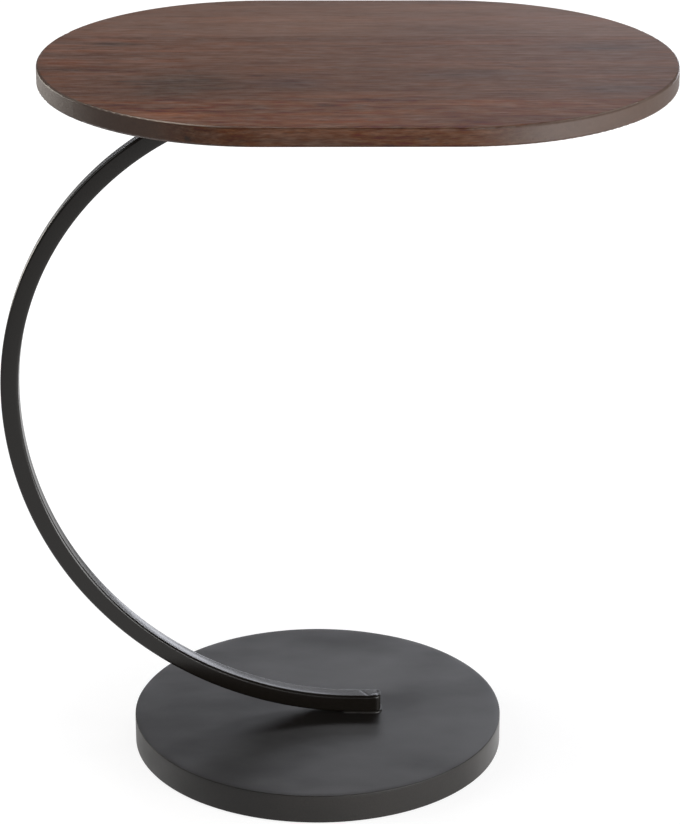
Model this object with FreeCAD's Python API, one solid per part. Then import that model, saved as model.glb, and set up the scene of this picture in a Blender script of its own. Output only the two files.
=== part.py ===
import FreeCAD, Part
import math
import os

# C-shaped side table: a wooden top on a bent square tube, welded to a round weighted base.
# Millimetres. +Z is up, and the origin is on the floor under the centre of the base.
# The tube's C lies in the plane Y = 0. It bulges to -X and opens to +X.

os.makedirs("parts", exist_ok=True)
Vector = FreeCAD.Vector
X_AXIS = Vector(1, 0, 0)
Y_AXIS = Vector(0, 1, 0)
Z_AXIS = Vector(0, 0, 1)

# --- driving dimensions -------------------------------------------------------------------------

# The wooden top: straight long sides and half-round ends, glued up from four boards.
TABLE_HEIGHT = 600.0
TOP_LENGTH = 508.0
TOP_WIDTH = 356.0
TOP_THICKNESS = 16.0
TOP_CENTRE_X = 32.0
TOP_EDGE_RADIUS = 2.0
FRONT_BOARD_WIDTH = 71.0
MID_FRONT_BOARD_WIDTH = 90.0
MID_BACK_BOARD_WIDTH = 84.0

# The square tube.
TUBE_SIDE = 15.0
TUBE_WALL = 1.5
TUBE_CORNER_RADIUS = 2.0
ARM_REACH = 260.0            # from the base's centre to the outermost face of the C
BELLY_HEIGHT = 318.5         # where the C reaches furthest out
FOOT_END_X = 51.0
UPPER_END_X = 92.0
FOOT_CAP_THICKNESS = 2.5
TOP_CAP_THICKNESS = 1.5
CAP_EDGE_RADIUS = 0.8

# The welds.
WELD_LEG = 3.0
WELD_BULGE = 0.5             # how far the bead's face stands out of a flat one
FOOT_WELD_START_X = 20.0
PLATE_WELD_START_X = 12.0

# The plate under the top, and its fasteners.
PLATE_LENGTH = 180.0
PLATE_WIDTH = 120.0
PLATE_THICKNESS = 3.0
PLATE_CORNER_RADIUS = 8.0
BOLT_SPACING_X = 150.0
BOLT_SPACING_Y = 90.0
BOLT_LENGTH = 14.0
BOLT_HEAD_RADIUS = 5.25
BOLT_HEAD_HEIGHT = 3.3
BOLT_SOCKET_ACROSS = 4.0
BOLT_SOCKET_DEPTH = 2.0
INSERT_RADIUS = 5.0
INSERT_LENGTH = 11.0
INSERT_HOLE_DEPTH = 12.5

# M6 and M4 hardware.
M6_RADIUS = 3.0
M6_CLEAR_RADIUS = 3.3
M4_RADIUS = 2.0
M4_CLEAR_RADIUS = 2.2
THREAD_CLEARANCE = 0.05
WASHER_RADIUS = 6.0
WASHER_HOLE_RADIUS = 3.2
WASHER_THICKNESS = 1.6
NUT_ACROSS = 10.0
NUT_HEIGHT = 5.0

# The base: a plate on a rolled band, with a ballast disc inside and a cover below.
BASE_HEIGHT = 25.5
BASE_RADIUS = 155.5
BASE_PLATE_THICKNESS = 4.0
BASE_EDGE_RADIUS = 1.2
BAND_THICKNESS = 3.0
BAND_FLOOR_GAP = 1.0
BALLAST_RADIUS = 140.0
BALLAST_THICKNESS = 10.0
BALLAST_HOLE_RADIUS = 3.5
STUD_LENGTH = 17.0
STUD_CIRCLE_RADIUS = 100.0
COVER_THICKNESS = 1.2
COVER_EDGE_GAP = 0.6
PAD_THICKNESS = 2.0
PAD_RADIUS = 12.5
PAD_CIRCLE_RADIUS = 132.0
PAD_COUNT = 6                # in the ring, besides the one in the middle

# The cover's tabs and screws stand on the diagonals, four of each, as the studs do.
DIAGONALS = (45.0, 135.0, 225.0, 315.0)
TAB_THICKNESS = 1.5
TAB_WIDTH = 20.0
TAB_REACH = 14.5
TAB_LEG_HEIGHT = 12.0
SCREW_CIRCLE_RADIUS = 144.0
SCREW_LENGTH = 6.0
SCREW_HEAD_RADIUS = 4.0
SCREW_HEAD_HEIGHT = 1.5

# --- worked out from them ------------------------------------------------------------------------

TOP_UNDERSIDE = TABLE_HEIGHT - TOP_THICKNESS
PLATE_UNDERSIDE = TOP_UNDERSIDE - PLATE_THICKNESS
UPPER_RUN_Z = PLATE_UNDERSIDE - TUBE_SIDE / 2
FOOT_Z = BASE_HEIGHT + TUBE_SIDE / 2
BELLY_X = -ARM_REACH + TUBE_SIDE / 2
UPPER_RADIUS = UPPER_RUN_Z - BELLY_HEIGHT
LOWER_RADIUS = BELLY_HEIGHT - FOOT_Z
BASE_PLATE_UNDERSIDE = BASE_HEIGHT - BASE_PLATE_THICKNESS
BALLAST_UNDERSIDE = BASE_PLATE_UNDERSIDE - BALLAST_THICKNESS
BAND_INNER_RADIUS = BASE_RADIUS - BAND_THICKNESS
COVER_UNDERSIDE = PAD_THICKNESS
COVER_TOP = COVER_UNDERSIDE + COVER_THICKNESS


# --- helpers -------------------------------------------------------------------------------------

def arc(start, middle, end):
    return Part.Arc(start, middle, end).toShape()


def cylinder(radius, height, x, y, z):
    return Part.makeCylinder(radius, height, Vector(x, y, z))


def ring(outer, inner, height, x, y, z):
    return cylinder(outer, height, x, y, z).cut(cylinder(inner, height, x, y, z))


def hexagon_prism(across, height, x, y, z):
    """A hexagonal prism, `across` wide over its flats, standing on (x, y, z)."""
    corner = across / math.sqrt(3)
    angles = [math.radians(60 * i) for i in range(7)]
    points = [Vector(x + corner * math.cos(a), y + corner * math.sin(a), z) for a in angles]
    return Part.Face(Part.makePolygon(points)).extrude(Vector(0, 0, height))


def rounded_rectangle(length, width, radius):
    """A closed wire about the origin in the XY plane, `length` along X, with round corners."""
    reach_x = length / 2
    reach_y = width / 2
    diagonal = radius * (1 - math.sqrt(0.5))
    edges = []
    for turn in range(4):
        if turn % 2 == 0:
            a, b = reach_x, reach_y
        else:
            a, b = reach_y, reach_x
        side = Part.makeLine(Vector(a, -b + radius, 0), Vector(a, b - radius, 0))
        corner = arc(Vector(a, b - radius, 0), Vector(a - diagonal, b - diagonal, 0),
                     Vector(a - radius, b, 0))
        for edge in (side, corner):
            edge.rotate(Vector(0, 0, 0), Z_AXIS, 90 * turn)
            edges.append(edge)
    return Part.Wire(edges)


def rounded_plate(length, width, radius, thickness, x, z):
    plate = Part.Face(rounded_rectangle(length, width, radius)).extrude(Vector(0, 0, thickness))
    plate.translate(Vector(x, 0, z))
    return plate


def on_circle(radius, angle):
    a = math.radians(angle)
    return radius * math.cos(a), radius * math.sin(a)


def bolt_places():
    """The four bolt places, at the corners of a rectangle about the plate's centre."""
    return [(TOP_CENTRE_X + sx * BOLT_SPACING_X / 2, sy * BOLT_SPACING_Y / 2)
            for sx in (-1, 1) for sy in (-1, 1)]


def edges_at(solid, z):
    return [e for e in solid.Edges if all(abs(v.Z - z) < 1e-6 for v in e.Vertexes)]


# --- the top -------------------------------------------------------------------------------------

def top_blank():
    """The whole top as it is sawn and sanded, with its arrises eased."""
    end_radius = TOP_WIDTH / 2
    straight = TOP_LENGTH / 2 - end_radius
    left = TOP_CENTRE_X - straight
    right = TOP_CENTRE_X + straight
    z = TOP_UNDERSIDE
    outline = Part.Wire([
        Part.makeLine(Vector(left, -end_radius, z), Vector(right, -end_radius, z)),
        arc(Vector(right, -end_radius, z), Vector(right + end_radius, 0, z),
            Vector(right, end_radius, z)),
        Part.makeLine(Vector(right, end_radius, z), Vector(left, end_radius, z)),
        arc(Vector(left, end_radius, z), Vector(left - end_radius, 0, z),
            Vector(left, -end_radius, z)),
    ])
    slab = Part.Face(outline).extrude(Vector(0, 0, TOP_THICKNESS))
    arrises = edges_at(slab, TABLE_HEIGHT) + edges_at(slab, TOP_UNDERSIDE)
    return slab.makeFillet(TOP_EDGE_RADIUS, arrises)


def top_boards():
    """The four boards, front to back, with the blind holes for the threaded inserts."""
    blank = top_blank()
    for x, y in bolt_places():
        blank = blank.cut(cylinder(INSERT_RADIUS, INSERT_HOLE_DEPTH, x, y, TOP_UNDERSIDE))
    front = -TOP_WIDTH / 2
    joint_1 = front + FRONT_BOARD_WIDTH
    joint_2 = joint_1 + MID_FRONT_BOARD_WIDTH
    joint_3 = joint_2 + MID_BACK_BOARD_WIDTH
    back = TOP_WIDTH / 2
    spans = {
        "tabletop_board_front": (front, joint_1),
        "tabletop_board_mid_front": (joint_1, joint_2),
        "tabletop_board_mid_back": (joint_2, joint_3),
        "tabletop_board_back": (joint_3, back),
    }
    boards = {}
    for name, (low, high) in spans.items():
        corner = Vector(TOP_CENTRE_X - TOP_LENGTH / 2, low, TOP_UNDERSIDE)
        slice_box = Part.makeBox(TOP_LENGTH, high - low, TOP_THICKNESS, corner)
        boards[name] = blank.common(slice_box)
    return boards


def threaded_inserts():
    return [ring(INSERT_RADIUS, M6_RADIUS, INSERT_LENGTH, x, y, TOP_UNDERSIDE)
            for x, y in bolt_places()]


def mounting_plate():
    plate = rounded_plate(PLATE_LENGTH, PLATE_WIDTH, PLATE_CORNER_RADIUS, PLATE_THICKNESS,
                          TOP_CENTRE_X, PLATE_UNDERSIDE)
    for x, y in bolt_places():
        plate = plate.cut(cylinder(M6_CLEAR_RADIUS, PLATE_THICKNESS, x, y, PLATE_UNDERSIDE))
    return plate


def mounting_washers():
    z = PLATE_UNDERSIDE - WASHER_THICKNESS
    return [ring(WASHER_RADIUS, WASHER_HOLE_RADIUS, WASHER_THICKNESS, x, y, z)
            for x, y in bolt_places()]


def button_head_bolt(x, y, seat_z):
    """A bolt that points up: its domed head hangs below `seat_z`, with a hex socket in it."""
    flat = BOLT_HEAD_RADIUS / 2
    low = seat_z - BOLT_HEAD_HEIGHT
    profile = Part.Wire([
        Part.makeLine(Vector(0, 0, seat_z), Vector(BOLT_HEAD_RADIUS, 0, seat_z)),
        arc(Vector(BOLT_HEAD_RADIUS, 0, seat_z),
            Vector(BOLT_HEAD_RADIUS * 0.85, 0, seat_z - BOLT_HEAD_HEIGHT * 0.62),
            Vector(flat, 0, low)),
        Part.makeLine(Vector(flat, 0, low), Vector(0, 0, low)),
        Part.makeLine(Vector(0, 0, low), Vector(0, 0, seat_z)),
    ])
    head = Part.Face(profile).revolve(Vector(0, 0, 0), Z_AXIS, 360)
    head = head.cut(hexagon_prism(BOLT_SOCKET_ACROSS, BOLT_SOCKET_DEPTH, 0, 0, low))
    shank = cylinder(M6_RADIUS - THREAD_CLEARANCE, BOLT_LENGTH, 0, 0, seat_z)
    bolt = head.fuse(shank).removeSplitter()
    bolt.translate(Vector(x, y, 0))
    return bolt


def mounting_bolts():
    seat = PLATE_UNDERSIDE - WASHER_THICKNESS
    return [button_head_bolt(x, y, seat) for x, y in bolt_places()]


# --- the arm -------------------------------------------------------------------------------------

def tube_face(inner, centre, upright):
    """The tube's cross-section at `centre`: level where the tube stands upright."""
    outer_wire = rounded_rectangle(TUBE_SIDE, TUBE_SIDE, TUBE_CORNER_RADIUS)
    face = Part.Face(outer_wire)
    if inner:
        bore_side = TUBE_SIDE - 2 * TUBE_WALL
        bore_radius = TUBE_CORNER_RADIUS - TUBE_WALL
        face = face.cut(Part.Face(rounded_rectangle(bore_side, bore_side, bore_radius)))
    if not upright:
        face.rotate(Vector(0, 0, 0), Y_AXIS, 90)
    face.translate(centre)
    return face


def bent_bar(hollow):
    """The C: a flat foot, a quarter turn out to the belly, a tighter one in, and a flat upper run.

    The quarter turns meet at the belly, where both are upright, so the bend is smooth there.
    """
    belly = Vector(BELLY_X, 0, BELLY_HEIGHT)
    lower_centre = Vector(BELLY_X + LOWER_RADIUS, 0, BELLY_HEIGHT)
    upper_centre = Vector(BELLY_X + UPPER_RADIUS, 0, BELLY_HEIGHT)
    foot_start = Vector(lower_centre.x, 0, FOOT_Z)
    upper_start = Vector(upper_centre.x, 0, UPPER_RUN_Z)
    lower_bend = tube_face(hollow, belly, True).revolve(lower_centre, Y_AXIS, -90)
    upper_bend = tube_face(hollow, belly, True).revolve(upper_centre, Y_AXIS, 90)
    foot = tube_face(hollow, foot_start, False).extrude(X_AXIS * (FOOT_END_X - foot_start.x))
    run = tube_face(hollow, upper_start, False).extrude(X_AXIS * (UPPER_END_X - upper_start.x))
    return foot.fuse([lower_bend, upper_bend, run]).removeSplitter()


def end_cap(thickness, x, z):
    cap = tube_face(False, Vector(x, 0, z), False).extrude(X_AXIS * thickness)
    outer_x = x + thickness
    rim = [e for e in cap.Edges if all(abs(v.X - outer_x) < 1e-6 for v in e.Vertexes)]
    return cap.makeFillet(CAP_EDGE_RADIUS, rim)


def fillet_bead(start_x, end_x, side, seat_z, up):
    """A weld bead along X in the corner between the tube's side and a plate at `seat_z`."""
    wall_y = side * TUBE_SIDE / 2
    inner_y = wall_y - side * TUBE_CORNER_RADIUS
    outer_y = wall_y + side * WELD_LEG
    crown_y = wall_y + side * (WELD_LEG / 2 + WELD_BULGE)
    crown_z = seat_z + up * (WELD_LEG / 2 + WELD_BULGE)
    high_z = seat_z + up * WELD_LEG
    section = Part.Wire([
        Part.makeLine(Vector(start_x, inner_y, seat_z), Vector(start_x, outer_y, seat_z)),
        arc(Vector(start_x, outer_y, seat_z), Vector(start_x, crown_y, crown_z),
            Vector(start_x, wall_y, high_z)),
        Part.makeLine(Vector(start_x, wall_y, high_z), Vector(start_x, inner_y, high_z)),
        Part.makeLine(Vector(start_x, inner_y, high_z), Vector(start_x, inner_y, seat_z)),
    ])
    return Part.Face(section).extrude(X_AXIS * (end_x - start_x))


def end_bead(x, seat_z):
    """The bead across the foot's end, in the corner between the cap and the base."""
    inner_x = x - CAP_EDGE_RADIUS
    crown_x = x + WELD_LEG / 2 + WELD_BULGE
    crown_z = seat_z + WELD_LEG / 2 + WELD_BULGE
    high_z = seat_z + WELD_LEG
    low_y = -TUBE_SIDE / 2 - WELD_LEG / 2
    section = Part.Wire([
        Part.makeLine(Vector(inner_x, low_y, seat_z), Vector(x + WELD_LEG, low_y, seat_z)),
        arc(Vector(x + WELD_LEG, low_y, seat_z), Vector(crown_x, low_y, crown_z),
            Vector(x, low_y, high_z)),
        Part.makeLine(Vector(x, low_y, high_z), Vector(inner_x, low_y, high_z)),
        Part.makeLine(Vector(inner_x, low_y, high_z), Vector(inner_x, low_y, seat_z)),
    ])
    return Part.Face(section).extrude(Y_AXIS * (TUBE_SIDE + WELD_LEG))


def arm_foot_welds():
    """One bead that runs along both sides of the foot and round its end."""
    end_x = FOOT_END_X + FOOT_CAP_THICKNESS
    left = fillet_bead(FOOT_WELD_START_X, end_x, -1, BASE_HEIGHT, 1)
    right = fillet_bead(FOOT_WELD_START_X, end_x, 1, BASE_HEIGHT, 1)
    bead = left.fuse([right, end_bead(end_x, BASE_HEIGHT)])
    cap = end_cap(FOOT_CAP_THICKNESS, FOOT_END_X, FOOT_Z)
    return bead.cut([bent_bar(False), cap]).removeSplitter().Solids


def arm_plate_welds():
    beads = [fillet_bead(PLATE_WELD_START_X, UPPER_END_X, side, PLATE_UNDERSIDE, -1)
             for side in (-1, 1)]
    bar = bent_bar(False)
    return [bead.cut(bar) for bead in beads]


# --- the base ------------------------------------------------------------------------------------

def base_top_plate():
    plate = cylinder(BASE_RADIUS, BASE_PLATE_THICKNESS, 0, 0, BASE_PLATE_UNDERSIDE)
    return plate.makeFillet(BASE_EDGE_RADIUS, edges_at(plate, BASE_HEIGHT))


def base_rim_band():
    height = BASE_PLATE_UNDERSIDE - BAND_FLOOR_GAP
    return ring(BASE_RADIUS, BAND_INNER_RADIUS, height, 0, 0, BAND_FLOOR_GAP)


def ballast_disc():
    disc = cylinder(BALLAST_RADIUS, BALLAST_THICKNESS, 0, 0, BALLAST_UNDERSIDE)
    for angle in DIAGONALS:
        x, y = on_circle(STUD_CIRCLE_RADIUS, angle)
        hole = cylinder(BALLAST_HOLE_RADIUS, BALLAST_THICKNESS, x, y, BALLAST_UNDERSIDE)
        disc = disc.cut(hole)
    return disc


def ballast_studs():
    z = BASE_PLATE_UNDERSIDE - STUD_LENGTH
    places = [on_circle(STUD_CIRCLE_RADIUS, angle) for angle in DIAGONALS]
    return [cylinder(M6_RADIUS - THREAD_CLEARANCE, STUD_LENGTH, x, y, z) for x, y in places]


def ballast_washers():
    z = BALLAST_UNDERSIDE - WASHER_THICKNESS
    places = [on_circle(STUD_CIRCLE_RADIUS, angle) for angle in DIAGONALS]
    return [ring(WASHER_RADIUS, WASHER_HOLE_RADIUS, WASHER_THICKNESS, x, y, z) for x, y in places]


def ballast_nuts():
    z = BALLAST_UNDERSIDE - WASHER_THICKNESS - NUT_HEIGHT
    nuts = []
    for angle in DIAGONALS:
        x, y = on_circle(STUD_CIRCLE_RADIUS, angle)
        nut = hexagon_prism(NUT_ACROSS, NUT_HEIGHT, x, y, z)
        nuts.append(nut.cut(cylinder(M6_RADIUS, NUT_HEIGHT, x, y, z)))
    return nuts


def base_bottom_cover():
    radius = BAND_INNER_RADIUS - COVER_EDGE_GAP
    cover = cylinder(radius, COVER_THICKNESS, 0, 0, COVER_UNDERSIDE)
    for angle in DIAGONALS:
        x, y = on_circle(SCREW_CIRCLE_RADIUS, angle)
        cover = cover.cut(cylinder(M4_CLEAR_RADIUS, COVER_THICKNESS, x, y, COVER_UNDERSIDE))
    return cover


def cover_tab():
    """One bent tab at angle 0: a leg against the band's inner wall, and a tapped foot."""
    height = TAB_THICKNESS + TAB_LEG_HEIGHT
    leg = ring(BAND_INNER_RADIUS, BAND_INNER_RADIUS - TAB_THICKNESS, height, 0, 0, COVER_TOP)
    foot = cylinder(BAND_INNER_RADIUS, TAB_THICKNESS, 0, 0, COVER_TOP)
    strip = Part.makeBox(TAB_REACH, TAB_WIDTH, height,
                         Vector(BAND_INNER_RADIUS - TAB_REACH, -TAB_WIDTH / 2, COVER_TOP))
    hole = cylinder(M4_RADIUS, TAB_THICKNESS, SCREW_CIRCLE_RADIUS, 0, COVER_TOP)
    return leg.fuse(foot).common(strip).cut(hole).removeSplitter()


def cover_tabs():
    tabs = []
    for angle in DIAGONALS:
        tab = cover_tab()
        tab.rotate(Vector(0, 0, 0), Z_AXIS, angle)
        tabs.append(tab)
    return tabs


def cover_screws():
    """Low-head screws that point up through the cover into the tabs."""
    screws = []
    for angle in DIAGONALS:
        x, y = on_circle(SCREW_CIRCLE_RADIUS, angle)
        head_z = COVER_UNDERSIDE - SCREW_HEAD_HEIGHT
        head = cylinder(SCREW_HEAD_RADIUS, SCREW_HEAD_HEIGHT, x, y, head_z)
        head = head.makeFillet(SCREW_HEAD_HEIGHT / 2, edges_at(head, head_z))
        shank = cylinder(M4_RADIUS - THREAD_CLEARANCE, SCREW_LENGTH, x, y, COVER_UNDERSIDE)
        screws.append(head.fuse(shank).removeSplitter())
    return screws


def floor_pads():
    """A ring of pads under the cover, and one in the middle that keeps the cover from drumming."""
    pads = [cylinder(PAD_RADIUS, PAD_THICKNESS, 0, 0, 0)]
    for i in range(PAD_COUNT):
        x, y = on_circle(PAD_CIRCLE_RADIUS, 360.0 * i / PAD_COUNT)
        pads.append(cylinder(PAD_RADIUS, PAD_THICKNESS, x, y, 0))
    return pads


# --- write one file per piece ----------------------------------------------------------------------

def write(name, solids):
    shape = solids if isinstance(solids, Part.Shape) else Part.makeCompound(solids)
    for solid in shape.Solids:
        if not solid.isValid():
            raise ValueError(name + " has an invalid solid")
    shape.exportStep("parts/" + name + ".step")
    print(name, len(shape.Solids), "solids", round(shape.Volume), "mm3")


for board_name, board in top_boards().items():
    write(board_name, board)
write("threaded_inserts", threaded_inserts())
write("mounting_plate", mounting_plate())
write("mounting_washers", mounting_washers())
write("mounting_bolts", mounting_bolts())
write("c_arm_tube", bent_bar(True))
write("arm_top_cap", end_cap(TOP_CAP_THICKNESS, UPPER_END_X, UPPER_RUN_Z))
write("arm_foot_cap", end_cap(FOOT_CAP_THICKNESS, FOOT_END_X, FOOT_Z))
write("arm_foot_welds", arm_foot_welds())
write("arm_plate_welds", arm_plate_welds())
write("base_top_plate", base_top_plate())
write("base_rim_band", base_rim_band())
write("ballast_disc", ballast_disc())
write("ballast_studs", ballast_studs())
write("ballast_washers", ballast_washers())
write("ballast_nuts", ballast_nuts())
write("base_bottom_cover", base_bottom_cover())
write("cover_tabs", cover_tabs())
write("cover_screws", cover_screws())
write("floor_pads", floor_pads())
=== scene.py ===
import math

import bmesh
import bpy
from mathutils import Matrix, Vector, noise


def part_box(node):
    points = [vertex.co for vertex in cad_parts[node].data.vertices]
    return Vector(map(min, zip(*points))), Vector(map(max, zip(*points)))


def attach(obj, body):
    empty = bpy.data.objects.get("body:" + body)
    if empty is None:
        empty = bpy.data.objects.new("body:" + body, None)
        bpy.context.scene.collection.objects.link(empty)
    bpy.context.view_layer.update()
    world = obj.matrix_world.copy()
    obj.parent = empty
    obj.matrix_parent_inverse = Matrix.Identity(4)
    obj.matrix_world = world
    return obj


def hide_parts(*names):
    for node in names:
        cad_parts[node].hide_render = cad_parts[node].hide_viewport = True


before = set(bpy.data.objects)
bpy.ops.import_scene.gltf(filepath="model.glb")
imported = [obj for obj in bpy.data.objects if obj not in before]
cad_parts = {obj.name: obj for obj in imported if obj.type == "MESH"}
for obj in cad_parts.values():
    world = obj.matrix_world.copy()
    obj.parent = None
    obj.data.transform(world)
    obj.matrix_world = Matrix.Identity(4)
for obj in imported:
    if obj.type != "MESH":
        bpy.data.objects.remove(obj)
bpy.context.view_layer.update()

# --- the camera ----------------------------------------------------------------------------------
# It stands in front of the table, higher than the top, and looks down on it through a long lens.
# The view is 680 pixels wide and 824 high, so the sensor's length lies along the height.

CAMERA_PLACE = (-0.00907, -2.56658, 1.34884)
CAMERA_PITCH = math.radians(22.2427)
CAMERA_YAW = math.radians(0.615)
CAMERA_ROLL = math.radians(0.1256)
LENS = 147.027               # in millimetres, like the sensor
SENSOR = 36.0

camera_data = bpy.data.cameras.new("camera")
camera_data.sensor_width = SENSOR
camera_data.lens = LENS
camera = bpy.data.objects.new("camera", camera_data)
bpy.context.scene.collection.objects.link(camera)
camera.matrix_world = (
    Matrix.Translation(CAMERA_PLACE)
    @ Matrix.Rotation(-CAMERA_YAW, 4, "Z")
    @ Matrix.Rotation(math.pi / 2 - CAMERA_PITCH, 4, "X")
    @ Matrix.Rotation(CAMERA_ROLL, 4, "Z")
)
bpy.context.scene.camera = camera

# --- the studio ----------------------------------------------------------------------------------
# A pale floor that runs far past the view, and a dim room with a strip of light high at the back.
# Softboxes light the table from the right, the left and above. The low and high panels behind it
# are dim, and are there for its gloss to show.

bpy.context.scene.view_settings.view_transform = "Standard"

FLOOR_HALF = 20.0
FLOOR_SQUARES = 8
FLOOR_COLOUR = (0.25, 0.25, 0.25)
FLOOR_LIFT = 0.85            # what the floor shows besides the light that falls on it
FAR_LIFT = 1.0               # and what it shows further out, where the lamps don't reach
LIFT_FROM = 0.5
LIFT_TO = 1.6
NEAR_MIRRORED = 1.0          # the same floor as gloss shows it, close to the table,
FAR_MIRRORED = 0.55          # and further out, where a studio's floor falls off into the dark
MIRRORED_FROM = 0.2
MIRRORED_TO = 1.5
ROOM = 0.06
STRIP = 2.0
STRIP_TINT = (0.97, 0.98, 1.03, 1.0)
STRIP_LOW = math.sin(math.radians(30.0))
STRIP_HIGH = math.sin(math.radians(36.0))
STRIP_SOFT = 0.02
STRIP_BACK = (0.5, 0.85)     # how far round to the back the strip starts and is full
STRIP_LEFT = 0.6             # its share of light at the left and at the right, and how far each
STRIP_RIGHT = 1.6            # is from the middle
STRIP_REACH = 0.35
PLAIN = (1.0, 1.0, 1.0)
COOL = (0.97, 0.99, 1.07)
WARM = (1.05, 0.98, 0.88)
PANEL_Y = 1.35
HIGH_PANEL_Z = 0.85
HIGH_PANEL_HEIGHT = 0.5
# The high panels from left to right: middle, width, watts and tint.
HIGH_PANELS = {
    "softbox_high_left": (-0.475, 0.85, 0.28, PLAIN),
    "softbox_high_middle": (0.025, 0.15, 0.09, PLAIN),
    "softbox_high_right": (0.175, 0.15, 0.125, COOL),
    "softbox_high_far": (0.45, 0.40, 0.60, COOL),
}


def new_material(name):
    material = bpy.data.materials.new(name)
    material.use_nodes = True
    material.node_tree.nodes.clear()
    return material, material.node_tree


def node(tree, kind, inputs=None, **settings):
    """A shader node. Its inputs are numbers, colours, or sockets to link from."""
    made = tree.nodes.new("ShaderNode" + kind)
    for name, value in settings.items():
        setattr(made, name, value)
    for socket, value in (inputs or {}).items():
        if isinstance(value, bpy.types.NodeSocket):
            tree.links.new(value, made.inputs[socket])
        else:
            made.inputs[socket].default_value = value
    return made


def maths(tree, operation, *values):
    return node(tree, "Math", dict(enumerate(values)), operation=operation).outputs[0]


def product(tree, first, *others):
    for other in others:
        first = maths(tree, "MULTIPLY", first, other)
    return first


def vectors(tree, operation, *values):
    return node(tree, "VectorMath", dict(enumerate(values)), operation=operation).outputs[0]


def length(tree, vector):
    return node(tree, "VectorMath", {0: vector}, operation="LENGTH").outputs["Value"]


def grade(tree, value, low, high, at_low=0.0, at_high=1.0):
    """The value's run from low to high, eased in and out, as one from at_low to at_high."""
    ends = {"Value": value, 1: low, 2: high, 3: at_low, 4: at_high}
    return node(tree, "MapRange", ends, interpolation_type="SMOOTHSTEP").outputs[0]


def link_object(name, mesh, material):
    mesh.materials.append(material)
    made = bpy.data.objects.new(name, mesh)
    bpy.context.scene.collection.objects.link(made)
    return made


def floor_material():
    """Paper that shows white round the table, also in its gloss, and keeps its shadow."""
    material, tree = new_material("floor_paper")
    rays = node(tree, "LightPath").outputs
    mirrored = maths(tree, "ADD", rays["Is Glossy Ray"], rays["Is Transmission Ray"])
    mirrored = maths(tree, "MINIMUM", mirrored, 1.0)
    away = length(tree, node(tree, "TexCoord").outputs["Object"])
    seen = grade(tree, away, LIFT_FROM, LIFT_TO, FLOOR_LIFT, FAR_LIFT)
    shown = grade(tree, away, MIRRORED_FROM, MIRRORED_TO, NEAR_MIRRORED, FAR_MIRRORED)
    lift = maths(tree, "MULTIPLY", mirrored, shown)
    lift = maths(tree, "MULTIPLY_ADD", rays["Is Camera Ray"], seen, lift)
    paper = node(tree, "BsdfDiffuse", {"Color": (*FLOOR_COLOUR, 1.0)})
    glow = node(tree, "Emission", {"Strength": lift})
    both = node(tree, "AddShader", {0: paper.outputs[0], 1: glow.outputs[0]})
    node(tree, "OutputMaterial", {"Surface": both.outputs[0]})
    return material


def studio_floor():
    shape = bmesh.new()
    bmesh.ops.create_grid(shape, x_segments=FLOOR_SQUARES, y_segments=FLOOR_SQUARES, size=FLOOR_HALF)
    mesh = bpy.data.meshes.new("studio_floor")
    shape.to_mesh(mesh)
    shape.free()
    return link_object("studio_floor", mesh, floor_material())


def room_light():
    """Dim all round, with a strip of light along the back, well above the horizon."""
    world = bpy.data.worlds.new("room")
    world.use_nodes = True
    tree = world.node_tree
    tree.nodes.clear()
    axes = node(tree, "SeparateXYZ", {0: node(tree, "TexCoord").outputs["Generated"]}).outputs
    above = grade(tree, axes["Z"], STRIP_LOW - STRIP_SOFT, STRIP_LOW + STRIP_SOFT)
    below = grade(tree, axes["Z"], STRIP_HIGH + STRIP_SOFT, STRIP_HIGH - STRIP_SOFT)
    behind = grade(tree, axes["Y"], *STRIP_BACK)
    sideways = grade(tree, axes["X"], -STRIP_REACH, STRIP_REACH, STRIP_LEFT, STRIP_RIGHT)
    strip = product(tree, above, below, behind, sideways)
    strength = maths(tree, "MULTIPLY_ADD", strip, STRIP, ROOM)
    glow = node(tree, "Background", {"Color": STRIP_TINT, "Strength": strength})
    node(tree, "OutputWorld", {"Surface": glow.outputs[0]})
    bpy.context.scene.world = world


def softbox(name, place, aim, width, height, watts, tint=PLAIN):
    lamp = bpy.data.lights.new(name, "AREA")
    lamp.shape = "RECTANGLE"
    lamp.size = width
    lamp.size_y = height
    lamp.energy = watts
    lamp.color = tint
    box = bpy.data.objects.new(name, lamp)
    box.location = place
    box.rotation_euler = (Vector(aim) - Vector(place)).to_track_quat("-Z", "Y").to_euler()
    box.visible_camera = False
    bpy.context.scene.collection.objects.link(box)


def panel_behind(name, x, z, width, height, watts, tint):
    """A softbox behind the table that faces straight to the front."""
    softbox(name, (x, PANEL_Y, z), (x, 0.0, z), width, height, watts, tint)


studio_floor()
room_light()
softbox("softbox_front", place=(1.36, -1.80, 0.32), aim=(0.1, 0.0, 0.42),
        width=2.0, height=0.55, watts=39.0)
softbox("softbox_right", place=(2.09, -0.93, 0.5), aim=(0.1, 0.0, 0.45),
        width=2.0, height=0.9, watts=37.0)
softbox("softbox_left", place=(-2.05, 1.35, 0.42), aim=(0.0, 0.0, 0.35),
        width=1.6, height=0.6, watts=24.0, tint=WARM)
softbox("softbox_overhead", place=(0.0, 0.0, 2.95), aim=(0.0, 0.0, 0.35),
        width=1.3, height=1.3, watts=44.0)
panel_behind("softbox_behind", x=-0.04, z=0.405, width=0.88, height=0.29, watts=2.35, tint=COOL)
panel_behind("softbox_behind_right", x=0.675, z=0.425, width=0.55, height=0.31, watts=4.1, tint=COOL)
for panel_name, (middle_x, panel_width, panel_watts, panel_tint) in HIGH_PANELS.items():
    panel_behind(panel_name, middle_x, HIGH_PANEL_Z, panel_width, HIGH_PANEL_HEIGHT, panel_watts,
                 panel_tint)
softbox("softbox_upper_left", place=(-1.9, -0.25, 1.55), aim=(-0.15, 0.0, 0.45),
        width=1.1, height=0.9, watts=6.0)
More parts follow.
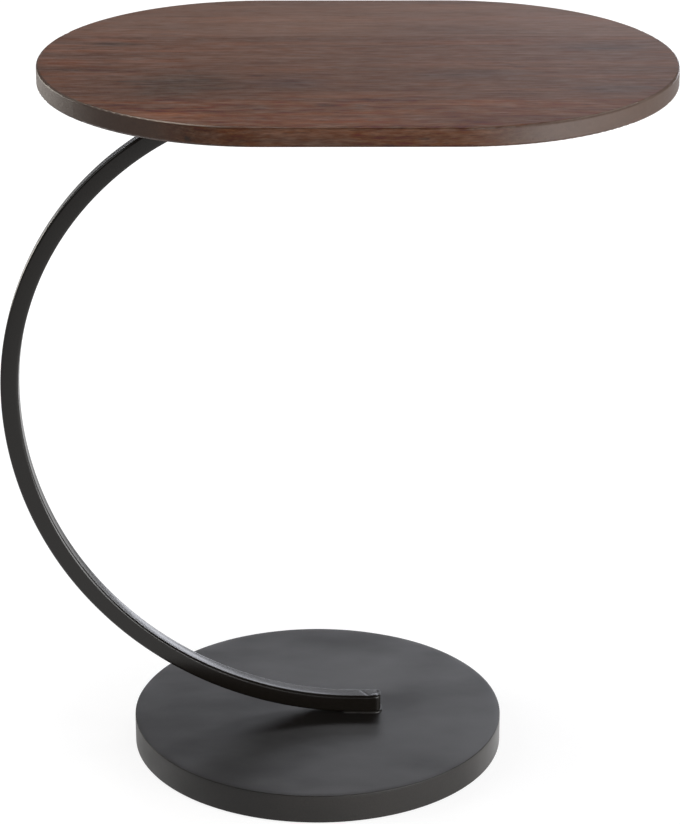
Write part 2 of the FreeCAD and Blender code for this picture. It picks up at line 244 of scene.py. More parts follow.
softbox("softbox_side", place=(-1.45, 0.13, 2.06), aim=(-0.12, -0.15, 0.6),
        width=0.40, height=0.30, watts=3.0)

# --- the base: a plate on a rolled band ----------------------------------------------------------
# A round steel plate welded on a band of flat bar rolled to a ring. The joint is filled and rubbed
# flush, and both are painted satin charcoal, so that the base reads as one heavy disc.

BASE_ARRIS = 0.0007
ARRIS_STEPS = 5
BASE_WAVE = 0.00016          # how far the rubbed surface wanders on top, and at the side
SIDE_WAVE = 0.6 * BASE_WAVE
BASE_RING_STEP = 0.005
BASE_SIDES = 224
BAND_WALL = 0.003
BAND_CHAMFER = 0.0006
BAND_RINGS = 6
CREASE = 40.0                # an edge that turns by more than this, in degrees, stays sharp
CHARCOAL = (0.0125, 0.0108, 0.0095)
PAINT_CLOUDS = (9.0, 16.0, 16.0)      # the paint's clouds, its dust and its skin, to the metre
PAINT_DUST = 900.0
PAINT_SKIN = 380.0
SKIN_DEPTH = 0.0002
CLOUD_GLOSS = 0.25           # how much of the clouds' change goes into the gloss as well


def stretch(tree, vector, scale):
    return node(tree, "Mapping", {"Vector": vector, "Scale": scale}).outputs[0]


def speckle(tree, vector, per_metre, detail=2.0, roughness=0.5):
    """Cloudy values about 0.5. A metre holds that many clouds, or that many along each axis."""
    scale = per_metre if isinstance(per_metre, tuple) else (per_metre,) * 3
    stretched = stretch(tree, vector, scale)
    inputs = {"Vector": stretched, "Scale": 1.0, "Detail": detail, "Roughness": roughness}
    return node(tree, "TexNoise", inputs).outputs[0]


def uneven(tree, clouds, spread, change):
    """A tone about 1, darker and lighter by that change as the clouds go that far from 0.5."""
    return grade(tree, clouds, 0.5 - spread, 0.5 + spread, 1.0 - change, 1.0 + change)


def scaled(tree, colour, share):
    return node(tree, "VectorMath", {0: colour, "Scale": share}, operation="SCALE").outputs[0]


def bump(tree, height, strength, depth):
    inputs = {"Height": height, "Strength": strength, "Distance": depth}
    return node(tree, "Bump", inputs).outputs[0]


def dress(material, inputs):
    """Ends the material in one principled surface with those inputs."""
    shader = node(material.node_tree, "BsdfPrincipled", inputs)
    node(material.node_tree, "OutputMaterial", {"Surface": shader.outputs[0]})
    return material


def satin_paint(name, colour, roughness, specular, cloud, grit, peel):
    """Sprayed paint: a little cloudy in tone and gloss, with a fine skin that is never quite flat."""
    material, tree = new_material(name)
    place = node(tree, "TexCoord").outputs["Object"]
    clouds = speckle(tree, place, PAINT_CLOUDS, detail=4.0)
    dust = speckle(tree, place, PAINT_DUST)
    skin = speckle(tree, place, PAINT_SKIN, detail=1.0)
    cloudy = uneven(tree, clouds, spread=0.3, change=cloud)
    dusty = uneven(tree, dust, spread=0.2, change=grit)
    change = CLOUD_GLOSS * cloud
    return dress(material, {
        "Base Color": scaled(tree, colour, product(tree, cloudy, dusty)),
        "Roughness": grade(tree, clouds, 0.2, 0.8, roughness + change, roughness - change),
        "Specular IOR Level": specular, "Normal": bump(tree, skin, strength=peel, depth=SKIN_DEPTH),
    })


def ripple(point, size, seed):
    """A small signed wander that changes over about `size` metres."""
    return noise.noise(point / size + Vector((seed, 2.0 * seed, -seed)))


def ease(value, low, high):
    """0 at low, 1 at high, and smooth between."""
    share = min(1.0, max(0.0, (value - low) / (high - low)))
    return share * share * (3.0 - 2.0 * share)


def join_rings(shape, first, second):
    """Faces between two rings of vertices, or between a ring and the one vertex at its middle."""
    for i in range(max(len(first), len(second))):
        corners = []
        for ring, step in ((first, i), (first, i + 1), (second, i + 1), (second, i)):
            corner = ring[step % len(ring)]
            if corner not in corners:
                corners.append(corner)
        shape.faces.new(corners)


def finished_mesh(name, shape, crease=CREASE):
    """Turns the faces outward and smooths all but the creases sharper than that, in degrees."""
    bmesh.ops.recalc_face_normals(shape, faces=shape.faces)
    mesh = bpy.data.meshes.new(name)
    shape.to_mesh(mesh)
    shape.free()
    mesh.shade_smooth()
    mesh.set_sharp_from_angle(angle=math.radians(crease))
    return mesh


def turn(shape, profile, around, middle=(0.0, 0.0), shift=None):
    """Turns (radius, z) pairs about an upright axis. It closes on the axis, or on itself."""
    rings = []
    for radius, z in profile:
        ring = []
        for i in range(around if radius > 0.0 else 1):
            angle = 2.0 * math.pi * i / around
            point = Vector((radius * math.cos(angle), radius * math.sin(angle), z))
            if shift is not None:
                point += shift(point)
            ring.append(shape.verts.new(point + Vector((*middle, 0.0))))
        rings.append(ring)
    if profile[0][0] > 0.0:
        rings.append(rings[0])
    for first, second in zip(rings, rings[1:]):
        join_rings(shape, first, second)


def quarter_round(radius, z, size, start, steps):
    """A quarter turn of (radius, z) points about a middle, clockwise from a start left out."""
    angles = [start - math.pi / 2 * i / steps for i in range(1, steps + 1)]
    return [(radius + size * math.cos(angle), z + size * math.sin(angle)) for angle in angles]


def stand_for(piece, slot, *nodes):
    """The piece rides with the table and shows in place of those CAD pieces."""
    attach(piece, "root")
    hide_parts(*nodes)


def rubbed_wave(base_radius, low_z, high_z):
    """How the filled and rubbed surface wanders: up and down on top, in and out at the side."""
    def shift(point):
        out = Vector((point.x, point.y, 0.0)) / base_radius
        side = SIDE_WAVE * ripple(point, size=0.030, seed=2.2) * out.length ** 4
        up = ripple(point, size=0.050, seed=1.3) + 0.3 * ripple(point, size=0.017, seed=4.4)
        return out * side + Vector((0.0, 0.0, BASE_WAVE * up * ease(point.z, low_z, high_z)))
    return shift


def base_plate(radius, low_z, high_z, shift):
    flat = radius - BASE_ARRIS
    rings = round(flat / BASE_RING_STEP)
    profile = [(flat * i / rings, high_z) for i in range(rings + 1)]
    profile += quarter_round(flat, high_z - BASE_ARRIS, BASE_ARRIS, math.pi / 2, ARRIS_STEPS)
    profile += [(radius, low_z), (radius / 2, low_z), (0.0, low_z)]
    shape = bmesh.new()
    turn(shape, profile, BASE_SIDES, shift=shift)
    return finished_mesh("base_plate", shape)


def base_band(radius, low_z, high_z, shift):
    fall = low_z + BAND_CHAMFER - high_z
    inner = radius - BAND_WALL
    profile = [(radius, high_z + fall * i / BAND_RINGS) for i in range(BAND_RINGS + 1)]
    profile += [(radius - BAND_CHAMFER, low_z), (inner, low_z), (inner, high_z)]
    shape = bmesh.new()
    turn(shape, profile, BASE_SIDES, shift=shift)
    return finished_mesh("base_band", shape)


charcoal_paint = satin_paint("charcoal_paint", CHARCOAL, roughness=0.44, specular=0.30,
                             cloud=0.42, grit=0.15, peel=0.03)
plate_low, plate_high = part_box("base_top_plate")
band_low, band_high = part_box("base_rim_band")
wave = rubbed_wave(plate_high.x, plate_low.z, plate_high.z)
plate_mesh = base_plate(plate_high.x, plate_low.z, plate_high.z, wave)
stand_for(link_object("base_plate", plate_mesh, charcoal_paint), "charcoal_paint", "base_top_plate")
band_mesh = base_band(band_high.x, band_low.z, band_high.z, wave)
stand_for(link_object("base_band", band_mesh, charcoal_paint), "charcoal_paint", "base_rim_band")

# --- the ballast inside the base -----------------------------------------------------------------
# A thick disc cut from hot-rolled plate, which keeps the table from tipping. It hangs on four studs
# welded under the base's plate, and is held by zinc-plated washers and nuts.

CUT_EDGE = 0.0004            # how far the edges of cut plates and studs are broken, and the nuts'
NUT_EDGE = 0.0003
WASHER_EDGE = 0.5 * NUT_EDGE
SAME_POINT = 1e-6            # two points that are closer than this are one
HOT_ROLLED = (0.17, 0.16, 0.155)
ZINC = (0.60, 0.60, 0.57)
SCRATCHES = (60.0, 2200.0, 900.0)     # to the metre
SCRATCH_DEPTH = 0.0001


def bare_steel(name, colour, metallic, roughness, mottle, patch):
    """Unpainted steel: its scale or plating varies in patches, with fine scratches over them."""
    material, tree = new_material(name)
    place = node(tree, "TexCoord").outputs["Object"]
    scale = speckle(tree, place, 1 / patch, detail=5.0, roughness=0.6)
    scratches = speckle(tree, place, SCRATCHES)
    patchy = uneven(tree, scale, spread=0.2, change=mottle)
    scratched = uneven(tree, scratches, spread=0.2, change=0.1)
    return dress(material, {
        "Base Color": scaled(tree, colour, product(tree, patchy, scratched)), "Metallic": metallic,
        "Roughness": grade(tree, scale, 0.3, 0.7, roughness + 0.1, roughness - 0.06),
        "Normal": bump(tree, scratches, strength=0.15, depth=SCRATCH_DEPTH),
    })


def eased_piece(node_name, piece_name, easing, material, slot):
    """The CAD piece again, with its sharp edges broken as a file or a die leaves them."""
    shape = bmesh.new()
    shape.from_mesh(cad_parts[node_name].data)
    bmesh.ops.remove_doubles(shape, verts=shape.verts, dist=SAME_POINT)
    sharp = [edge for edge in shape.edges
             if edge.is_manifold and edge.calc_face_angle() > math.radians(CREASE)]
    bmesh.ops.bevel(shape, geom=sharp, offset=easing, offset_type="OFFSET", segments=2,
                    profile=0.5, affect="EDGES", clamp_overlap=True)
    piece = link_object(piece_name, finished_mesh(piece_name, shape), material)
    stand_for(piece, slot, node_name)


hot_rolled = bare_steel("hot_rolled_steel", HOT_ROLLED, metallic=0.85, roughness=0.50,
                        mottle=0.35, patch=0.012)
zinc_plate = bare_steel("zinc_plating", ZINC, metallic=1.0, roughness=0.32, mottle=0.10, patch=0.004)
eased_piece("ballast_disc", "ballast", CUT_EDGE, hot_rolled, "raw_steel")
eased_piece("ballast_studs", "weld_studs", CUT_EDGE, hot_rolled, "raw_steel")
eased_piece("ballast_washers", "stud_washers", WASHER_EDGE, zinc_plate, "zinc_hardware")
eased_piece("ballast_nuts", "stud_nuts", NUT_EDGE, zinc_plate, "zinc_hardware")

# --- the cover under the base --------------------------------------------------------------------
# A thin painted sheet that closes the base. Four bent tabs inside the band are tapped for its
# screws, which have low heads with a six-lobed recess.

SCREW_SIDES = 48
SCREW_HEAD_RADIUS = 0.004
SCREW_HEAD_HEIGHT = 0.0015
SCREW_ROUND = 0.0007
ROUND_STEPS = 5
SHANK_RADIUS = 0.00195
SHANK_CHAMFER = 0.0004
RECESS_RADIUS = 0.0012
RECESS_DEPTH = 0.0009
RECESS_CHAMFER = 0.0001
RECESS_POINT = 0.0002        # how much deeper its floor is in the middle
LOBE_COUNT = 6
LOBE_PUSH = 0.15             # how far the lobes go in and out, as a share of the radius
SHEET_EDGE = 0.0002
BLACKENED = (0.045, 0.045, 0.05)


def lobes(point):
    """Pushes the recess's wall in and out six times round."""
    if math.hypot(point.x, point.y) > 1.5 * RECESS_RADIUS:
        return Vector((0.0, 0.0, 0.0))
    push = LOBE_PUSH * math.cos(LOBE_COUNT * math.atan2(point.y, point.x))
    return Vector((point.x * push, point.y * push, 0.0))


def low_head_screws():
    low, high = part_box("cover_screws")
    reach = high.x - SCREW_HEAD_RADIUS
    head_z = low.z
    seat_z = head_z + SCREW_HEAD_HEIGHT
    round_z = head_z + SCREW_ROUND
    profile = [
        (0.0, high.z), (SHANK_RADIUS - SHANK_CHAMFER, high.z), (SHANK_RADIUS, high.z - SHANK_CHAMFER),
        (SHANK_RADIUS, seat_z), (SCREW_HEAD_RADIUS, seat_z), (SCREW_HEAD_RADIUS, round_z),
    ]
    profile += quarter_round(SCREW_HEAD_RADIUS - SCREW_ROUND, round_z, SCREW_ROUND, 0.0, ROUND_STEPS)
    profile += [
        (2.0 * RECESS_RADIUS, head_z), (1.1 * RECESS_RADIUS, head_z),
        (RECESS_RADIUS, head_z + RECESS_CHAMFER), (0.95 * RECESS_RADIUS, head_z + RECESS_DEPTH),
        (0.0, head_z + RECESS_DEPTH + RECESS_POINT),
    ]
    shape = bmesh.new()
    for side_x in (-1, 1):
        for side_y in (-1, 1):
            turn(shape, profile, SCREW_SIDES, (side_x * reach, side_y * reach), lobes)
    return finished_mesh("low_head_screws", shape)


black_oxide = bare_steel("black_oxide", BLACKENED, metallic=0.8, roughness=0.36, mottle=0.2,
                         patch=0.006)
eased_piece("cover_tabs", "tapped_tabs", SHEET_EDGE, hot_rolled, "raw_steel")
eased_piece("base_bottom_cover", "bottom_cover", SHEET_EDGE, charcoal_paint, "charcoal_paint")
screws = link_object("low_head_screws", low_head_screws(), black_oxide)
stand_for(screws, "black_hardware", "cover_screws")

# --- the floor pads ------------------------------------------------------------------------------
# Seven discs punched from pressed felt and glued under the cover. Their cut edges are soft, and the
# face is uneven with fibres.

PAD_RADIUS = 0.0125
PAD_SIDES = 64
PAD_RINGS = 8
PAD_SOFT_EDGE = 0.0007
SOFT_EDGE_STEPS = 3
PADS_IN_RING = 6
FELT_CREASE = 80.0
FELT_RISE = 0.00012          # how far in the fibres go from the faces, and from the edge
FELT_FRAY = 0.00025
FELT = (0.055, 0.049, 0.044)
FELT_TANGLE = 1100.0         # to the metre, as the lumps
FELT_LUMPS = 160.0
TANGLE_DEPTH = 0.0004


def pressed_felt():
    material, tree = new_material("pressed_felt")
    place = node(tree, "TexCoord").outputs["Object"]
    tangle = speckle(tree, place, FELT_TANGLE, detail=5.0, roughness=0.7)
    lumps = speckle(tree, place, FELT_LUMPS, detail=3.0)
    tangled = grade(tree, tangle, 0.25, 0.75, 0.45, 1.6)
    lumpy = uneven(tree, lumps, spread=0.2, change=0.15)
    return dress(material, {
        "Base Color": scaled(tree, FELT, product(tree, tangled, lumpy)), "Roughness": 0.95,
        "Specular IOR Level": 0.2, "Sheen Weight": 0.35,
        "Normal": bump(tree, tangle, strength=0.8, depth=TANGLE_DEPTH),
    })


def felt_pads():
    """One pad in the middle and the others in a ring round it."""
    low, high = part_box("floor_pads")
    middle_z = (low.z + high.z) / 2
    flat = PAD_RADIUS - PAD_SOFT_EDGE
    profile = [(flat * i / PAD_RINGS, high.z) for i in range(PAD_RINGS + 1)]
    for start, z in ((math.pi / 2, high.z - PAD_SOFT_EDGE), (0.0, low.z + PAD_SOFT_EDGE)):
        profile += quarter_round(flat, z, PAD_SOFT_EDGE, start, SOFT_EDGE_STEPS)
    profile += [(flat * i / PAD_RINGS, low.z) for i in range(PAD_RINGS - 1, -1, -1)]

    def fibres(point):
        """Only inward, from both faces and the edge, so that a pad never outgrows its disc."""
        rise = FELT_RISE * (0.5 + 0.5 * ripple(point, size=0.0011, seed=3.0))
        fray = FELT_FRAY * (0.5 + 0.5 * ripple(point, size=0.0014, seed=8.0))
        out = Vector((point.x, point.y, 0.0)) / PAD_RADIUS
        return Vector((0.0, 0.0, rise if point.z < middle_z else -rise)) - out * fray

    ring_radius = high.x - PAD_RADIUS
    places = [(0.0, 0.0)]
    for i in range(PADS_IN_RING):
        angle = 2.0 * math.pi * i / PADS_IN_RING
        places.append((ring_radius * math.cos(angle), ring_radius * math.sin(angle)))
    shape = bmesh.new()
    for place in places:
        turn(shape, profile, PAD_SIDES, place, fibres)
    return finished_mesh("felt_pads", shape, FELT_CREASE)


stand_for(link_object("felt_pads", felt_pads(), pressed_felt()), "felt", "floor_pads")

# --- the arm -------------------------------------------------------------------------------------
# One length of 15 mm square steel tube, rolled to a C and painted satin black. The rolls dish the
# wall on the inside of the bend, flatten the outside, and leave the faces a little wavy.

BELLY_HEIGHT = 0.3185        # where the C bulges furthest
TUBE_WALL = 0.0015
TUBE_CORNER = 0.0022
TUBE_DISH = 0.00025
OUTER_DISH = 0.2 * TUBE_DISH
TUBE_FULLNESS = 0.00015      # how far the faces beside the bend bulge
TUBE_WAVE = 0.00005
BEND_EASE = 0.035            # the length over which a bend's dishing comes in
ARM_STEP = 0.004
FOOT_STEP = ARM_STEP / 8
FACE_POINTS = 14             # points across each face of the section, and round each corner
CORNER_POINTS = 6
FOOT_ROUND = 0.0045          # how far back the upright edges of the foot's end are ground
FOOT_HEIGHT = 0.0405         # up to the foot's upper face
MARKS_BELOW = 0.05           # the foot's marks are all lower than this
MARKS_FALL = 0.004           # and fade out this far below the upper face
LUMP_REACH = 0.003
LUMP_HEIGHT = 0.0004
DENT = ((0.037, 0.0045), (0.0435, -0.0055))      # where it starts and ends
DENT_DEPTH = 0.0003
DENT_REACH = 0.0012
DROP = (0.0478, -0.0058)
DROP_HEIGHT = 0.0007
DROP_REACH = 0.0019
BLACK = (0.0060, 0.0048, 0.0036)

foot_joint_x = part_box("arm_foot_cap")[0].x
foot_end_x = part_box("arm_foot_cap")[1].x


def arm_stations():
    """The C's centre line from the foot's end to the upper end: (point, outward, bend)."""
    low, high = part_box("c_arm_tube")
    half = (high.y - low.y) / 2
    foot_z = low.z + half
    run_z = high.z - half
    lower_radius = BELLY_HEIGHT - foot_z
    upper_radius = run_z - BELLY_HEIGHT
    lower_x = low.x + half + lower_radius
    upper_x = low.x + half + upper_radius
    stations = []

    def straight(start_x, end_x, z, outward, step):
        count = round(abs(end_x - start_x) / step)
        for i in range(count):
            x = start_x + (end_x - start_x) * i / count
            stations.append((Vector((x, 0.0, z)), outward, 0.0))

    def quarter(centre_x, radius, start, from_belly):
        arc_length = radius * math.pi / 2
        count = round(arc_length / ARM_STEP)
        for i in range(count):
            angle = start - math.pi / 2 * i / count
            outward = Vector((math.cos(angle), 0.0, math.sin(angle)))
            from_straight = arc_length * (1.0 - i / count if from_belly else i / count)
            bend = ease(from_straight, 0.0, BEND_EASE)
            stations.append((Vector((centre_x, 0.0, BELLY_HEIGHT)) + outward * radius, outward, bend))

    down = Vector((0.0, 0.0, -1.0))
    up = Vector((0.0, 0.0, 1.0))
    straight(foot_joint_x, lower_x, foot_z, down, FOOT_STEP)
    quarter(lower_x, lower_radius, -math.pi / 2, False)
    quarter(upper_x, upper_radius, -math.pi, True)
    straight(upper_x, high.x, run_z, up, ARM_STEP)
    stations.append((Vector((high.x, 0.0, run_z)), up, 0.0))
    return stations, half


def square_section(half, corner):
    """Points round a square with round corners, as (across, outward) pairs."""
    points = []
    flat = half - corner
    for face in range(4):
        facing = face * math.pi / 2
        cosine, sine = math.cos(facing), math.sin(facing)
        for i in range(FACE_POINTS):
            run = -flat + 2 * flat * i / FACE_POINTS
            points.append((half * cosine - run * sine, half * sine + run * cosine))
        for i in range(CORNER_POINTS):
            angle = facing + math.pi / 2 * i / CORNER_POINTS
            points.append((flat * (cosine - sine) + corner * math.cos(angle),
                           flat * (sine + cosine) + corner * math.sin(angle)))
    return points


def rounded(x, end_x, radius):
    """How far back a rounded edge stands at x, where the end's face is at end_x."""
    into = min(max(x - end_x + radius, 0.0), radius)
    return radius - math.sqrt(radius * radius - into * into)


def foot_marks(place):
    """The ground weld round the foot's end, a dent across its top and a drop of weld by it."""
    if place.z >= MARKS_BELOW:
        return Vector((0.0, 0.0, 0.0))
    near = math.exp(-((place.x - foot_joint_x) / LUMP_REACH) ** 2)
    rise = LUMP_HEIGHT * near * (0.3 + ripple(place, size=0.0032, seed=6.3))
    flat = Vector(place.xy)
    start, end = Vector(DENT[0]), Vector(DENT[1])
    share = min(1.0, max(0.0, (flat - start).dot(end - start) / (end - start).length_squared))
    off = (flat - start.lerp(end, share)).length
    rise -= DENT_DEPTH * math.exp(-(off / DENT_REACH) ** 2)
    rise += DROP_HEIGHT * math.exp(-((flat - Vector(DROP)).length / DROP_REACH) ** 2)
    return Vector((0.0, 0.0, rise * ease(place.z, FOOT_HEIGHT - MARKS_FALL, FOOT_HEIGHT)))


def rolled_face(across, out, half, bend, place):
    """A point of the section as the rolls and the grinder leave it."""
    flat = half - TUBE_CORNER
    share_across = min(1.0, abs(across) / flat)
    share_out = min(1.0, abs(out) / flat)
    wander = 1.0 + TUBE_WAVE * (ripple(place, size=0.045, seed=3.1) - 1.0) / half
    if place.z < FOOT_HEIGHT - SAME_POINT and place.x > 0.0:      # not the foot's upper face itself
        across *= 1.0 - rounded(place.x, foot_end_x, FOOT_ROUND) / half
    if out < -flat:
        out += bend * TUBE_DISH * (1.0 - share_across ** 2)
    elif out > flat:
        out -= bend * OUTER_DISH * (1.0 - share_across ** 2)
    if abs(across) > flat:
        across += math.copysign(bend * TUBE_FULLNESS * (1.0 - share_out ** 2), across)
    return across * wander, out * wander


def rolled_tube():
    """The tube's outer skin and its bore, joined at both ends."""
    stations, half = arm_stations()
    shape = bmesh.new()
    skins = []
    for section in (square_section(half, TUBE_CORNER),
                    square_section(half - TUBE_WALL, TUBE_CORNER - TUBE_WALL)):
        outside = not skins
        rings = []
        for centre, outward, bend in stations:
            ring = []
            for across, out in section:
                place = centre + Vector((0.0, across, 0.0)) + outward * out
                if outside:
                    across, out = rolled_face(across, out, half, bend, place)
                elif out < TUBE_CORNER - half:
                    out += bend * TUBE_DISH
                point = centre + Vector((0.0, across, 0.0)) + outward * out
                if outside:
                    point += foot_marks(point)
                ring.append(shape.verts.new(point))
            rings.append(ring)
        for first, second in zip(rings, rings[1:]):
            join_rings(shape, first, second)
        skins.append(rings)
    for end in (0, -1):
        join_rings(shape, skins[0][end], skins[1][end])
    return finished_mesh("c_arm", shape)


black_paint = satin_paint("black_paint", BLACK, roughness=0.25, specular=0.34,
                          cloud=0.06, grit=0.04, peel=0.01)
stand_for(link_object("c_arm", rolled_tube(), black_paint), "black_paint", "c_arm_tube")

# --- the arm's end caps --------------------------------------------------------------------------
# Steel plates welded into the tube's two ends and ground off. The foot's cap shows: its weld is
# lumpy along the edges, and the paint has pooled over it.

CAP_EDGE = 0.0008
CAP_STEPS = 12
CAP_CREASE = 60.0
FACE_RINGS = (0.94, 0.86, 0.76, 0.64, 0.5, 0.35, 0.2)     # as shares of the end face's size
GRIND = 0.00012

weld_paint = satin_paint("weld_paint", BLACK, roughness=0.42, specular=0.30,
                         cloud=0.20, grit=0.10, peel=0.05)


def end_cap(name, node_name, side_round):
    """Rings of the tube's section, out along the cap and then in over its face."""
    low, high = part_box(node_name)
    half = (high.y - low.y) / 2
    middle_z = (low.z + high.z) / 2
    steps = []
    for i in range(CAP_STEPS + 1):
        steps.append((low.x + (high.x - low.x) * math.sin(math.pi / 2 * i / CAP_STEPS), 1.0))
    steps += [(high.x, share) for share in FACE_RINGS]
    shape = bmesh.new()
    rings = [[shape.verts.new((low.x, 0.0, middle_z))]]
    for x, share in steps:
        wide = share * (1.0 - rounded(x, high.x, side_round) / half)
        tall = share * (1.0 - rounded(x, high.x, CAP_EDGE) / half)
        ring = []
        for across, up in square_section(half, TUBE_CORNER):
            place = Vector((x, across * wide, middle_z + up * tall))
            ground = min(0.0, ripple(place, size=0.0025, seed=1.7) - 0.2)
            place.x += GRIND * ground * ease(x, low.x, high.x)
            ring.append(shape.verts.new(place + foot_marks(place)))
        rings.append(ring)
    rings.append([shape.verts.new((high.x, 0.0, middle_z))])
    for first, second in zip(rings, rings[1:]):
        join_rings(shape, first, second)
    return link_object(name, finished_mesh(name, shape, CAP_CREASE), weld_paint)


stand_for(end_cap("foot_end_cap", "arm_foot_cap", FOOT_ROUND), "black_paint", "arm_foot_cap")
stand_for(end_cap("upper_end_cap", "arm_top_cap", CAP_EDGE), "black_paint", "arm_top_cap")

# --- the weld at the arm's foot ------------------------------------------------------------------
# One fillet bead along both sides of the foot and round its end, which fixes the arm to the base.
# The welder's pauses leave fine ripples, softened by the paint.

WELD_LEG = 0.0018
WELD_BULGE = 0.0003
WELD_ROOT = 0.001            # how far the bead goes into the wall and the seat
WELD_STEP = 0.0005
WELD_TAPER = 0.003
WELD_TIP = 0.25              # the leg's share that is left at the bead's very ends
WELD_WANDER = 0.006
WELD_START_X = 0.020         # where the bead starts, on either side of the foot
BEAD_POINTS = 6
RIPPLE_PITCH = 0.0019
RIPPLE_HEIGHT = 0.03
LEG_CHANGE = 0.10
END_THINNING = 0.25          # the bead is this much thinner round the foot's end


def weld_bead(shape, path, seat_z, up):
    """A fillet bead along (point, outward) pairs, in the corner between a wall and a seat."""
    rings = []
    for i, (point, outward) in enumerate(path):
        run = i * WELD_STEP
        left = (len(path) - 1 - i) * WELD_STEP
        taper = WELD_TIP + (1.0 - WELD_TIP) * ease(min(run, left), 0.0, WELD_TAPER)
        beat = 2.0 * math.pi * run / RIPPLE_PITCH + 2.0 * ripple(point, WELD_WANDER, seed=1.1)
        change = RIPPLE_HEIGHT * math.sin(beat) + LEG_CHANGE * ripple(point, WELD_WANDER, seed=4.2)
        leg = WELD_LEG * taper * (1.0 + change) * (1.0 - END_THINNING * max(0.0, outward.x))
        section = [(-WELD_ROOT, 0.0)]
        for k in range(BEAD_POINTS + 1):
            share = k / BEAD_POINTS
            bulge = WELD_BULGE * taper * math.sin(math.pi * share)
            section.append((leg * (1.0 - share) + bulge, leg * share + bulge))
        section.append((-WELD_ROOT, leg))
        base = Vector((point.x, point.y, seat_z))
        rings.append([shape.verts.new(base + outward * out + Vector((0.0, 0.0, up * rise)))
                      for out, rise in section])
    for first, second in zip(rings, rings[1:]):
        join_rings(shape, first, second)
    shape.faces.new(rings[0])
    shape.faces.new(rings[-1])


def run_along(start_x, end_x, wall_y):
    """A straight stretch of the bead's path beside the tube."""
    outward = Vector((0.0, math.copysign(1.0, wall_y), 0.0))
    count = round(abs(end_x - start_x) / WELD_STEP)
    return [(Vector((start_x + (end_x - start_x) * i / count, wall_y, 0.0)), outward)
            for i in range(count)]


def run_round(corner_x, corner_y, start):
    """A quarter turn of the path, round an upright edge of the foot's end."""
    turns = round(FOOT_ROUND * math.pi / 2 / WELD_STEP)
    path = []
    for i in range(turns):
        angle = start + math.pi / 2 * i / turns
        outward = Vector((math.cos(angle), math.sin(angle), 0.0))
        path.append((Vector((corner_x, corner_y, 0.0)) + outward * FOOT_ROUND, outward))
    return path


def foot_weld():
    """Along one side of the foot, round its end and back along the other side."""
    cap_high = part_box("arm_foot_cap")[1]
    half = cap_high.y
    corner_x = cap_high.x - FOOT_ROUND
    corner_y = half - FOOT_ROUND
    ahead = Vector((1.0, 0.0, 0.0))
    count = round(2 * corner_y / WELD_STEP)
    path = run_along(WELD_START_X, corner_x, -half)
    path += run_round(corner_x, -corner_y, -math.pi / 2)
    path += [(Vector((cap_high.x, -corner_y + 2 * corner_y * i / count, 0.0)), ahead)
             for i in range(count)]
    path += run_round(corner_x, corner_y, 0.0)
    path += run_along(corner_x, WELD_START_X, half)
    shape = bmesh.new()
    weld_bead(shape, path, plate_high.z, 1.0)
    return finished_mesh("foot_weld", shape)


stand_for(link_object("foot_weld", foot_weld(), weld_paint), "black_paint", "arm_foot_welds")

# --- the mounting plate --------------------------------------------------------------------------
# A flat steel plate welded on the arm's upper run, with four holes for the bolts. It is painted
# with the arm, before the wooden top goes on.

PLATE_EDGE = 0.0004


def plate_welds():
    """Two beads in the corners between the tube's sides and the plate over it."""
    low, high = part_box("arm_plate_welds")
    tube_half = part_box("c_arm_tube")[1].y
    shape = bmesh.new()
    for wall_y in (-tube_half, tube_half):
        weld_bead(shape, run_along(low.x, high.x, wall_y), high.z, -1.0)
    return finished_mesh("plate_welds", shape)


eased_piece("mounting_plate", "top_mounting_plate", PLATE_EDGE, black_paint, "black_paint")
stand_for(link_object("plate_welds", plate_welds(), weld_paint), "black_paint", "arm_plate_welds")

# --- the four boards of the top ------------------------------------------------------------------
# Solid hardwood, glued edge to edge, sawn to a stadium outline, with its arrises eased by hand.
# It is stained dark brown and lacquered to a low satin. The grain runs along X.

WOOD_ROUGHNESS = 0.40
ROUGHNESS_CHANGE = 0.05
WOOD_SPECULAR = 0.18
GRAIN_LINE = (1.0, -0.07, 0.0)        # the grain's own run, a few degrees off the top's length
GRAIN_DRIFT = 0.010                   # how far the grain wanders to each side of it
DRIFT_WAVES = (7.0, 11.0, 11.0)       # to the metre
RINGS = 190.0                         # growth rings to the metre, out from the trunk's middle
GRAIN_DEPTH = 0.00012                 # of the bump that the fibres and pores leave
FIBRE = 0.0195                # how much lighter or darker than its brown a bundle of fibres is
SIDE_CALM = 0.85              # and how much of that is lost on upright faces
ORANGE = (0.185, 0.066, 0.028)
RUST = (0.160, 0.054, 0.025)
UMBER = (0.050, 0.023, 0.012)
OLIVE = (0.066, 0.038, 0.025)
MAUVE = (0.072, 0.036, 0.028)
SLATE = (0.082, 0.046, 0.036)
PALE = (0.180, 0.094, 0.063)
SIDE_SHADE = (0.047, 0.021, 0.012)
SIDE_SHARE = 0.65
SIDE_GLINT = (0.120, 0.053, 0.024)
GLINT_SHARE = 0.55
# The ends' own greyer tone, made lighter as a painted sheen where the rounded ends catch the lamps.
END_GRAIN_AND_SHEEN = (0.080, 0.055, 0.044)
END_SHARE = 0.90
# The open pores' dark, which also serves as the painted shade on the eased arrises.
PORE_DARK_AND_ARRIS_SHADE = (0.020, 0.012, 0.009)
PORE_SHARE = 0.45             # how much of that dark the pores have, and the eased arrises as a painted shade
PAINTED_ARRIS_SHADE = 0.45
# A painted highlight: a pale line where the front's rounded upper arris catches the lamps.
PAINTED_HIGHLIGHT = (0.34, 0.28, 0.23)
# Along X: where the painted highlight starts, is full, fades and ends, and how strong it is.
PAINTED_HIGHLIGHT_STRETCHES = ((-0.200, -0.185, -0.120, -0.060, 0.95), (0.165, 0.195, 0.245, 0.265, 0.9))
# The same four places down from the top's face, and how far in front of the middle it comes in.
PAINTED_HIGHLIGHT_DEPTHS = (0.0001, 0.00035, 0.0008, 0.0012)
PAINTED_HIGHLIGHT_FRONT = (-0.02, -0.05)

